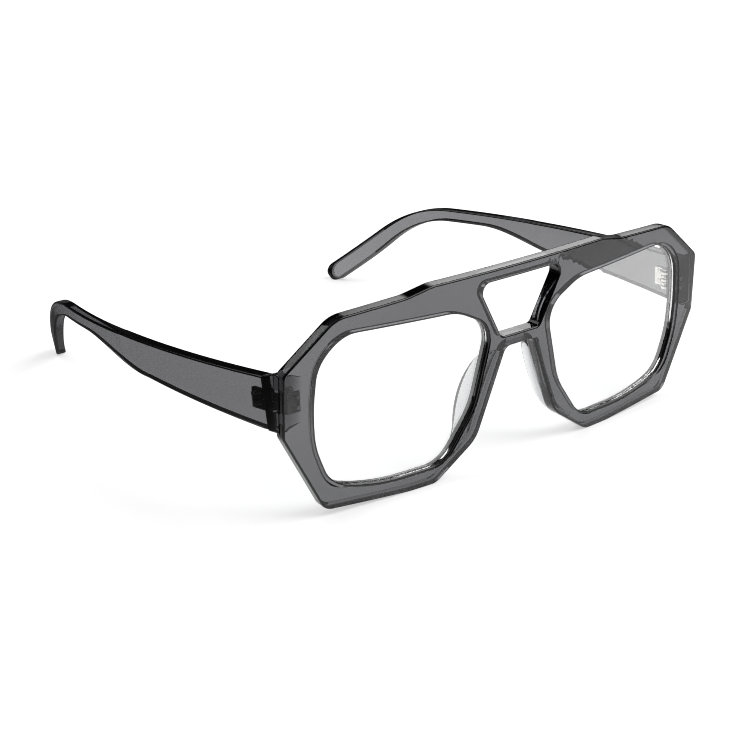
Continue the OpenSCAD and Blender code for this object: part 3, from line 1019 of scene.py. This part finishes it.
    def leaf_pocket(self, side: Side) -> bpy.types.Object:
        """Cutter for the pocket that the front leaf lies in."""
        hinge = self.hinge
        back = self.curve.sag(hinge.x) + self.thick - hinge.depth + hinge.leaf_thick
        back += hinge.leaf_rise - hinge.leaf_sink
        gap = hinge.seat_gap
        low = (-hinge.front_leaf - gap, back - hinge.leaf_thick - gap, -hinge.tall / 2 - gap)
        high = (hinge.temple_in - hinge.x, back + 4 * hinge.knuckle_radius, hinge.tall / 2 + gap)
        return block("pocket", low, high, hinge.place(side))

    def screw_way(self, side: Side) -> bpy.types.Object:
        """Cutter for the way down to the screw's head."""
        hinge = self.hinge
        bm = bmesh.new()
        radius = hinge.head_diameter / 2 + hinge.barrel_gap
        long, sides = self.screw_way_length, self.screw_way_sides
        bmesh.ops.create_cone(bm, cap_ends=True, segments=sides, radius1=radius, radius2=radius, depth=long)
        bmesh.ops.translate(bm, vec=Vector((0, 0, long / 2)), verts=bm.verts)
        bmesh.ops.transform(bm, matrix=hinge.place(side), verts=bm.verts)
        return new_piece("screw way", bm)

    def painted_shade(self, face: bpy.types.MeshPolygon, width: float) -> float:
        """The share of painted shade at a face: painted dark at roundings, and painted shade at the lug's
        outer side.

        Args:
            face: The face.
            width: Its width in millimetres.

        Returns:
            The share.
        """
        x, y = face.center.x / MM, face.center.y / MM - shift_y()
        radius = self.curve.radius
        depth = radius - math.hypot(x, radius - y)
        lean = math.asin(x / radius)
        facing = abs(face.normal.x * math.sin(lean) - face.normal.y * math.cos(lean))
        if abs(x) > self.half_width - self.side_band and abs(face.normal.x) > LUG_SIDE_FACING:
            return self.lug_side_painted_shade
        narrow = width < self.front_round_width
        if depth > self.thick:
            return self.painted_edge_shade if face.normal.z > LUG_TOP_FACING else 0.0
        if facing < WALL_FACING:
            return self.painted_edge_shade if depth < self.painted_shade_wall_depth else 0.0
        if facing > SHEET_FACING:
            within = self.sheet_skin < depth < self.thick - self.sheet_skin
            return self.painted_edge_shade if narrow and within else 0.0
        if narrow:
            return self.painted_edge_shade
        return self.back_edge_painted_shade if width < self.back_round_width else 0.0

    def build(self) -> bpy.types.Object:
        """Makes the front in one solid.

        Returns:
            The dressed front.
        """
        piece = self.plate()
        for operation, parts in (
            ("UNION", (self.lug, self.ramp)),
            ("DIFFERENCE", (self.leaf_pocket, self.screw_way)),
        ):
            carve(piece, [part(side) for side in Side for part in parts], operation)
        paint_shade_on_roundings(piece, self.painted_shade)
        smooth(piece)
        coat(piece, SMOKE_PLASTIC.build())
        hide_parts("front_frame")
        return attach(piece, Body.FRONT.value)


@dataclass
class Lens:
    """A clear lens, bent on the base curve, with its edge in the rim's groove."""

    front: Front
    edge_round: float = 0.12
    edge_steps: int = 2

    def build(self, side: Side, material: bpy.types.Material) -> bpy.types.Object:
        """Makes one lens.

        Args:
            side: The wearer's side.
            material: The lens material.

        Returns:
            The lens.
        """
        front = self.front
        corners = front.eye_corners() if side is Side.LEFT else mirrored(front.eye_corners())
        contour = rounded_contour(corners, hole=False)
        edge = front.eye_lip - front.lens_seat + front.lens_gap
        near = (front.thick - front.lens_thick) / 2
        profile = [
            (edge + offset, near + depth)
            for back in (False, True)
            for offset, depth in quarter(self.edge_round, self.edge_steps, back, front.lens_thick)
        ]

        def reach(x: float, offset: float) -> float:
            return offset + front.lip_extra(x)

        piece = new_piece(f"lens_{side.word}_clear", bent_plate(front.curve, [(contour, profile)], reach))
        smooth(piece)
        coat(piece, material)
        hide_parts(f"lens_{side.word}")
        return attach(piece, Body.FRONT.value)


@dataclass
class Temple:
    """A temple: flat blade, shoulder, neck, ear bend and tip, bowed outwards."""

    hinge: Hinge
    tip_thick: float = 2.7
    bow_radius: float = 258.0
    bow_peak: float = 39.0
    ear_bow_start: float = 55.0
    ear_bow_radius: float = 174.0
    ear_bow_tilt: float = 16.0
    blade_end_height: float = 9.4
    shoulder_start: float = 44.0
    shoulder_length: float = 33.0
    neck_height: float = 3.7
    bend_start: float = 90.0
    bend_radius: float = 37.0
    bend_angle: float = 38.5
    ear_length: float = 23.0
    paddle_height: float = 5.5
    paddle_length: float = 12.0
    tip_upper: float = 3.4
    tip_lower: float = 2.2
    tip_face: float = 1.0
    edge_round: float = 0.5
    edge_share: float = 0.45
    edge_steps: int = 4
    side_steps: int = 5
    # Painted shade: the widest face that counts as a rounding, and how dark its colour is painted near the
    # hinge and at the ear
    round_width: float = 0.3
    painted_edge_shade: float = 0.98
    ear_edge_painted_shade: float = 0.6
    ear_painted_shade_start: float = 55.0
    joint_round: float = 0.25
    joint_insets: tuple[float, ...] = (0.0, 0.12, 0.35)
    root_length: float = 12.0
    root_rings: int = 8
    ring_step: float = 1.6
    tip_rings: int = 12
    tip_gap: float = 1.4
    tip_reach: float = 0.97

    @property
    def bend_length(self) -> float:
        """Length of the ear bend along the top edge."""
        return self.bend_radius * math.radians(self.bend_angle)

    @property
    def length(self) -> float:
        """Length of the top edge behind the hinge."""
        return self.bend_start + self.bend_length + self.ear_length

    def top(self, s: float) -> Point:
        """The top edge at a distance along it, as along and up."""
        a = self.turn(s)
        straight = min(s, self.bend_start)
        rest = max(0.0, s - self.bend_start - self.bend_length)
        return (
            straight + self.bend_radius * math.sin(a) + rest * math.cos(a),
            self.hinge.blade_rise - self.bend_radius * (1 - math.cos(a)) - rest * math.sin(a),
        )

    def turn(self, s: float) -> float:
        """How far the temple has turned down at a distance along its top edge."""
        return max(0.0, min(math.radians(self.bend_angle), (s - self.bend_start) / self.bend_radius))

    def bottom(self, s: float) -> Point:
        """The bottom edge's point below a distance along the top edge."""
        along, up = self.top(s)
        return along - self.height(s) * math.sin(self.turn(s)), up - self.height(s) * math.cos(self.turn(s))

    def height(self, s: float) -> float:
        """Height of the temple at a distance along it."""
        full, end, neck = self.hinge.blade_height, self.blade_end_height, self.neck_height
        if s < self.shoulder_start:
            return full + (end - full) * s / self.shoulder_start
        if s < self.bend_start:
            return end + (neck - end) * ease((s - self.shoulder_start) / self.shoulder_length)
        swell = ease((s - self.bend_start) / (self.length - self.paddle_length - self.bend_start))
        return neck + (self.paddle_height - neck) * swell

    def bow(self, along: float, up: float, inner: bool) -> float:
        """X of the bowed face from the hinge at a point of the side view.

        Args:
            along: Distance from the hinge.
            up: Height above the hinge.
            inner: True for the inner face.

        Returns:
            X from the screw's axis.
        """
        hinge = self.hinge
        bow_x = hinge.lug_out - hinge.x - math.sqrt(self.bow_radius**2 - self.bow_peak**2)
        at, end = self.bottom(self.ear_bow_start), self.bottom(self.length)
        tilt = math.radians(self.ear_bow_tilt)
        long = (end[0] - at[0]) * math.cos(tilt) - (end[1] - at[1]) * math.sin(tilt)
        shift, radius, ear = 0.0, self.bow_radius, self.ear_bow_radius
        if inner:
            turned = at[0] / self.bow_radius + long / self.ear_bow_radius
            shift = (hinge.temple_thick - self.tip_thick) / turned
            radius = math.hypot(hinge.temple_in - hinge.x - bow_x, self.bow_peak + shift)
            ear = self.ear_bow_radius - hinge.temple_thick
        turn = math.asin((at[0] - self.bow_peak - shift) / radius)
        v = (along - at[0]) * math.cos(tilt) - (up - at[1]) * math.sin(tilt)
        if v <= 0:
            return bow_x + math.sqrt(radius**2 - (along - self.bow_peak - shift) ** 2)
        centre = bow_x + (radius - ear) * math.cos(turn)
        return centre + math.sqrt(ear**2 - (v + ear * math.sin(turn)) ** 2)

    def ring(self, high: Point, low: Point, pinch: float) -> list[Vector]:
        """One cross-section between a point of the top edge and one of the bottom edge.

        Args:
            high: Point of the top edge, as along and up.
            low: Point of the bottom edge.
            pinch: Inset of both faces, for the rounded end.

        Returns:
            The ring, clockwise from the outer top corner.
        """
        tall = math.dist(high, low)
        outer_side, inner_side = [], []
        r = min(self.edge_round, tall * self.edge_share)
        stops = [(down, inset) for inset, down in quarter(r, self.edge_steps, False, 0.0)]
        flat = tall - 2 * r
        levels = stops + [(r + flat * k / self.side_steps, 0.0) for k in range(1, self.side_steps)]
        levels += [(tall - down, inset) for down, inset in reversed(stops)]
        for down, inset in levels:
            share = down / tall
            along = high[0] + (low[0] - high[0]) * share
            up = high[1] + (low[1] - high[1]) * share
            outer_side.append(Vector((self.bow(along, up, False) - inset - pinch, along, up)))
            inner_side.append(Vector((self.bow(along, up, True) + inset + pinch, along, up)))
        return outer_side + list(reversed(inner_side))

    def tip_inset(self, s: float, radius: float) -> float:
        """How far a rounding of the tip has drawn in at a distance along the top edge."""
        past = max(0.0, min(radius, s - self.length + radius))
        return radius - math.sqrt(radius**2 - past**2)

    def joint_along(self, up: float) -> float:
        """Where the slanted joint lies along the temple, at a height in the hinge's frame."""
        pitch, slant = math.radians(self.hinge.pitch), math.tan(math.radians(self.hinge.joint_slant))
        way = slant * up * math.cos(pitch) - up * math.sin(pitch) - self.hinge.joint_ahead
        return way / (math.cos(pitch) + slant * math.sin(pitch))

    def rings(self) -> list[list[Vector]]:
        """All cross-sections from the joint to the tip, in the hinge's frame."""
        rise = self.hinge.blade_rise
        low_up = rise - self.height(0.0)
        first_high, first_low = self.joint_along(rise), self.joint_along(low_up)
        rows = []
        for inset in self.joint_insets:
            left = max(0.0, self.joint_round - inset)
            pinch = self.joint_round - math.sqrt(self.joint_round**2 - left**2)
            high, low = (first_high + inset, rise - pinch), (first_low + inset, low_up + pinch)
            rows.append(self.ring(high, low, pinch))
        starts = [first + self.joint_insets[-1] for first in (first_high, first_low)]
        for k in range(1, self.root_rings + 1):
            high, low = (start + (self.root_length - start) * k / self.root_rings for start in starts)
            rows.append(self.ring((high, rise), (low, rise - self.height(low)), 0.0))
        last = self.length - self.tip_upper
        s = self.root_length
        while s < last - self.tip_gap:
            s += self.ring_step
            rows.append(self.ring(self.top(s), self.bottom(s), 0.0))
        for k in range(self.tip_rings):
            s = last + self.tip_upper * math.sin(math.pi / 2 * k / (self.tip_rings - 1) * self.tip_reach)
            top, bottom = Vector(self.top(s)), Vector(self.bottom(s))
            down = (bottom - top).normalized()
            high = top + down * self.tip_inset(s, self.tip_upper)
            low = bottom - down * self.tip_inset(s, self.tip_lower)
            rows.append(self.ring(high, low, self.tip_inset(s, self.tip_face)))
        return rows

    def painted_shade(self, face: bpy.types.MeshPolygon, width: float) -> float:
        """The share of painted shade at a face's rounding, which is less towards the ear.

        Args:
            face: The face.
            width: Its width in millimetres.

        Returns:
            The share.
        """
        if width > self.round_width or abs(face.normal.x) > FLAT_FACING:
            return 0.0
        return self.painted_edge_shade if face.center.y / MM < self.ear_painted_shade_start else self.ear_edge_painted_shade

    def build(self, side: Side, material: bpy.types.Material) -> bpy.types.Object:
        """Makes one temple with its leaf pocket.

        Args:
            side: The wearer's side.
            material: The plastic.

        Returns:
            The temple.
        """
        hinge = self.hinge
        place = hinge.place(side)
        bm = loft([[place @ p for p in ring] for ring in self.rings()])
        piece = new_piece(f"temple_{side.word}_plastic", bm)
        gap, start, tall = hinge.seat_gap, hinge.temple_leaf_start, hinge.tall / 2
        floor, leaf_end = hinge.plate_x + hinge.leaf_thick + gap, start + hinge.temple_leaf
        inside, ahead = -2 * hinge.knuckle_radius, -4 * hinge.knuckle_radius
        carve(piece, [
            block("pocket", (inside, start - gap, -tall), (floor, leaf_end + gap, tall), place),
            block("recess", (inside, ahead, -tall - gap), (floor, start, tall + gap), place),
        ], "DIFFERENCE")
        paint_shade_on_roundings(piece, self.painted_shade)
        smooth(piece)
        coat(piece, material)
        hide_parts(f"temple_{side.word}")
        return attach(piece, Body.temple(side).value)


@dataclass
class NosePad:
    """A clear pad glued behind the nasal rim.

    The crest's points are offsets across the pad and drops below its full depth.
    """

    front: Front
    depth: float = 6.0
    splay: float = 18.0
    bottom: float = 4.4
    top: float = 31.0
    base: float = 3.4
    inset: float = 0.3
    lip: float = 0.5
    hollow: float = 0.25
    crest: tuple[Point, ...] = ((-0.1, 0.49), (0.35, 0.0), (1.05, 0.15), (1.4, 0.7))
    crest_faces: tuple[int, ...] = (2, 3)
    back_offset: float = 0.7
    back_swell: float = 0.3
    back_rise: float = 0.45
    swell_skew: float = 0.8
    swell_fullness: float = 0.7
    rings: int = 14
    soft_levels: int = 2
    crest_painted_shade: float = 0.97

    def nasal_x(self, z: float) -> float:
        """X of the rim's nasal edge at a height."""
        front = self.front
        x, height = front.nasal_low
        if z > height:
            return x + (front.arch_half - x) * (z - height) / (front.arch_height - height)
        return x + (front.foot_half - x) * (height - z) / height

    def ring(self, t: float, side: Side) -> list[Vector]:
        """One ring of the pad, from the rim's nasal edge back to the crest and home again.

        Args:
            t: Share of the way from the pad's top to its bottom.
            side: The wearer's side.

        Returns:
            The ring.
        """
        front = self.front
        z = self.top + (self.bottom - self.top) * t
        swell = math.sin(math.pi * t**self.swell_skew) ** self.swell_fullness if 0 < t < 1 else 0.0
        lean = math.tan(math.radians(self.splay))
        x = self.nasal_x(z) + self.inset
        y = front.curve.sag(x + self.base) + front.thick + front.hinge.seat_gap
        reach = self.lip + (self.depth - self.lip) * swell
        crest_x = x + reach * lean
        outline = [(x, y), (x + reach * 0.5 * lean - self.hollow, y + reach * 0.5)]
        outline += [(crest_x + across, y + reach - drop * swell) for across, drop in self.crest]
        back_x = max(crest_x + self.back_offset, x + self.base) + self.back_swell * swell
        outline += [(back_x, y + reach * self.back_rise), (x + self.base, y)]
        return [Vector((px * side.value, py + shift_y(), z)) for px, py in outline]

    def build(self, side: Side, material: bpy.types.Material) -> bpy.types.Object:
        """Makes one pad.

        Args:
            side: The wearer's side.
            material: The pad's plastic.

        Returns:
            The pad.
        """
        rings = [self.ring(k / self.rings, side) for k in range(self.rings + 1)]
        piece = new_piece(f"nose_pad_{side.word}_clear", loft(rings))
        around = len(rings[0])

        # Painted shade: the pad's crest faces are darkened in colour
        def crest_painted_shade(face: bpy.types.MeshPolygon, width: float) -> float:
            crest = face.index < self.rings * around and face.index % around in self.crest_faces
            return self.crest_painted_shade if crest else 0.0

        paint_shade_on_roundings(piece, crest_painted_shade)
        soft = piece.modifiers.new("soft form", "SUBSURF")
        soft.levels = soft.render_levels = self.soft_levels
        for face in piece.data.polygons:
            face.use_smooth = True
        coat(piece, material)
        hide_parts(f"nose_pad_{side.word}")
        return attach(piece, Body.FRONT.value)


@dataclass
class HingeParts:
    """The carried-over metal pieces: leaves, screws and rivets."""

    edge_break: float = 0.06
    edge_angle: float = 40.0
    edge_segments: int = 2
    weld_reach: float = 1e-6

    def dress(self) -> None:
        """Gives each metal node its finish and broken edges."""
        metal, screw = HINGE_METAL.build(), SCREW_METAL.build()
        for name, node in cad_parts.items():
            if not any(word in name for word in ("leaf", "screw", "rivet")):
                continue
            coat(node, metal if "leaf" in name else screw)
            weld = node.modifiers.new("one skin", "WELD")
            weld.merge_threshold = self.weld_reach
            bevel = node.modifiers.new("broken edges", "BEVEL")
            bevel.width = self.edge_break * MM
            bevel.segments = self.edge_segments
            bevel.limit_method = "ANGLE"
            bevel.angle_limit = math.radians(self.edge_angle)
            keep_flat(node)
            log.info("metal finish on %s", name)


# Studio


@dataclass(frozen=True)
class SoftBox:
    """A bright patch of the surroundings that polished surfaces reflect, in degrees."""

    way: Place = (0.714, 0.558, 0.423)
    reach: float = 12.0
    soft: float = 5.0
    strength: float = 2.8


@dataclass(frozen=True)
class Lamp:
    """A soft square lamp that looks at the object, in metres and watts."""

    name: str
    place: Place
    size: float
    power: float

    def hang(self, target: Vector) -> None:
        """Hangs the lamp and turns it to a point."""
        data = bpy.data.lights.new(self.name, "AREA")
        data.size, data.energy = self.size, self.power
        lamp = linked(self.name, data)
        lamp.location = self.place
        lamp.rotation_euler = (target - Vector(self.place)).to_track_quat("-Z", "Y").to_euler()


@dataclass
class Studio:
    """The pale floor, the soft lamps, the white surroundings and the camera."""

    room_level: float = 0.015
    haze_level: float = 0.2
    haze_span: Point = (-0.02, 0.08)
    backdrop_reach: float = 0.15
    fill_level: float = 0.45
    soft_box: SoftBox = SoftBox()
    lamps: tuple[Lamp, ...] = (
        Lamp("key", (0.75, -0.62, 1.0), 1.0, 14.0),
        Lamp("fill", (-0.5, 0.7, 1.3), 1.2, 7.0),
    )
    lamp_target: Place = (0.0, 0.0, 0.02)
    floor_size: float = 3.0
    floor_glow: float = 0.5
    floor_seen: float = 0.62
    floor_unseen: float = 0.8
    floor_far: float = 0.02
    far_share: float = 0.95
    card_place: Place = (0.06, -0.11, 0.0)
    card_reach: float = 0.115
    azimuth: float = -41.01
    elevation: float = 22.23
    roll: float = 0.80
    distance: float = 526.55
    focal_pixels: float = 1946.8
    target: Place = (-13.48, -30.236, 12.88)
    image_width: int = 756
    sensor_width: float = 36.0
    clip: Point = (0.01, 20.0)
    pixel_filter_width: float = 1.0

    def camera(self) -> None:
        """Sets the camera at the photograph's viewing angle, in degrees and millimetres."""
        a, e, r = (math.radians(v) for v in (self.azimuth, self.elevation, self.roll))
        back = Vector((math.sin(a) * math.cos(e), -math.cos(a) * math.cos(e), math.sin(e)))
        right = Vector((math.cos(a), math.sin(a), 0))
        up = back.cross(right)
        right, up = right * math.cos(r) + up * math.sin(r), up * math.cos(r) - right * math.sin(r)
        data = bpy.data.cameras.new("camera")
        data.sensor_width = self.sensor_width
        data.lens = self.focal_pixels / self.image_width * self.sensor_width
        data.clip_start, data.clip_end = self.clip
        camera = linked("camera", data)
        place = (Vector(self.target) + back * self.distance) * MM
        camera.matrix_world = Matrix.Translation(place) @ Matrix((right, up, back)).transposed().to_4x4()
        bpy.context.scene.camera = camera

    def floor(self) -> None:
        """Lays the pale floor, white to the camera and in glass, with the object's shadow kept.

        To rays that a polished face has mirrored, it is pale on a round card and dark beyond it.
        """
        bm = bmesh.new()
        bmesh.ops.create_grid(bm, x_segments=2, y_segments=2, size=self.floor_size)
        mesh = bpy.data.meshes.new("floor")
        bm.to_mesh(mesh)
        bm.free()
        floor = linked("floor", mesh)
        material = bpy.data.materials.new("pale_floor")
        material.use_nodes = True
        material.node_tree.nodes.clear()
        graph = Graph(material.node_tree)
        path = graph.add("LightPath").outputs
        in_glass = graph.math("MAXIMUM", path["Is Glossy Ray"], path["Is Transmission Ray"])
        seen = graph.math("MAXIMUM", path["Is Camera Ray"], in_glass)
        glow = graph.add("Emission", {"Strength": self.floor_glow})
        lit = graph.add("AddShader", {0: graph.matt(self.floor_seen), 1: glow.outputs[0]}).outputs[0]
        place = graph.add("TexCoord").outputs["Object"]
        away = graph.vector_math("DISTANCE", {0: place, 1: self.card_place}, "Value")
        beyond = graph.fade(away, (self.card_reach, 2 * self.card_reach), (0.0, self.far_share))
        mirrored_ray = graph.math("GREATER_THAN", path["Glossy Depth"], 0.5)
        shown = graph.mix(graph.math("MULTIPLY", beyond, mirrored_ray), lit, graph.matt(self.floor_far))
        graph.add("OutputMaterial", {"Surface": graph.mix(seen, graph.matt(self.floor_unseen), shown)})
        mesh.materials.append(material)

    def world(self) -> None:
        """White to the camera and straight through glass; a dim room with a soft box in reflections."""
        world = bpy.data.worlds.new("studio")
        bpy.context.scene.world = world
        world.use_nodes = True
        world.node_tree.nodes.clear()
        graph = Graph(world.node_tree)
        path = graph.add("LightPath").outputs
        way = graph.add("TexCoord").outputs["Generated"]
        height = graph.add("SeparateXYZ", {0: way}).outputs["Z"]
        straight = graph.math("LESS_THAN", path["Glossy Depth"], 0.5)
        low = graph.fade(height, (0.0, self.backdrop_reach), (1.0, 0.0))
        through = graph.math("MULTIPLY", graph.math("MULTIPLY", path["Is Transmission Ray"], straight), low)
        seen = graph.math("MAXIMUM", path["Is Camera Ray"], through)
        box = self.soft_box
        aim = graph.vector_math("DOT_PRODUCT", {0: way, 1: Vector(box.way).normalized()}, "Value")
        rim = tuple(math.cos(math.radians(box.reach + sign * box.soft)) for sign in (1, -1))
        boxed = graph.math("ADD", graph.fade(aim, rim, (0.0, box.strength)), self.room_level)
        haze = graph.fade(height, self.haze_span, (self.haze_level, 0.0))
        level = graph.math("ADD", boxed, haze)
        unseen = graph.math("MAXIMUM", path["Is Diffuse Ray"], path["Is Shadow Ray"])
        strength = graph.add("Mix", {0: unseen, 2: level, 3: self.fill_level}).outputs[0]
        room = graph.add("Background", {"Strength": strength})
        white = graph.add("Background", {"Color": (1.0, 1.0, 1.0, 1.0), "Strength": 1.0})
        graph.add("OutputWorld", {"Surface": graph.mix(seen, room.outputs[0], white.outputs[0])})

    def build(self) -> None:
        """Builds the whole studio."""
        self.camera()
        self.floor()
        self.world()
        for lamp in self.lamps:
            lamp.hang(Vector(self.lamp_target))
        scene = bpy.context.scene
        scene.view_settings.view_transform = "Standard"
        scene.cycles.pixel_filter_type = "BLACKMAN_HARRIS"
        scene.cycles.filter_width = self.pixel_filter_width


def main() -> None:
    """Builds the studio and every piece in order."""
    logging.basicConfig(level=logging.INFO, format="%(message)s")
    Studio().build()
    hinge, curve = Hinge(), BaseCurve()
    front = Front(hinge, curve)
    front_piece = front.build()
    log.info("front: %d faces", len(front_piece.data.polygons))
    plastic = front_piece.data.materials[0]
    lens_material, pad_material = LENS_PLASTIC.build(), PAD_PLASTIC.build()
    for side in Side:
        lens = Lens(front).build(side, lens_material)
        pad = NosePad(front).build(side, pad_material)
        temple = Temple(hinge).build(side, plastic)
        for piece in (lens, pad, temple):
            log.info("%s: %d faces", piece.name, len(piece.data.polygons))
    HingeParts().dress()


if __name__ == "__main__":
    main()
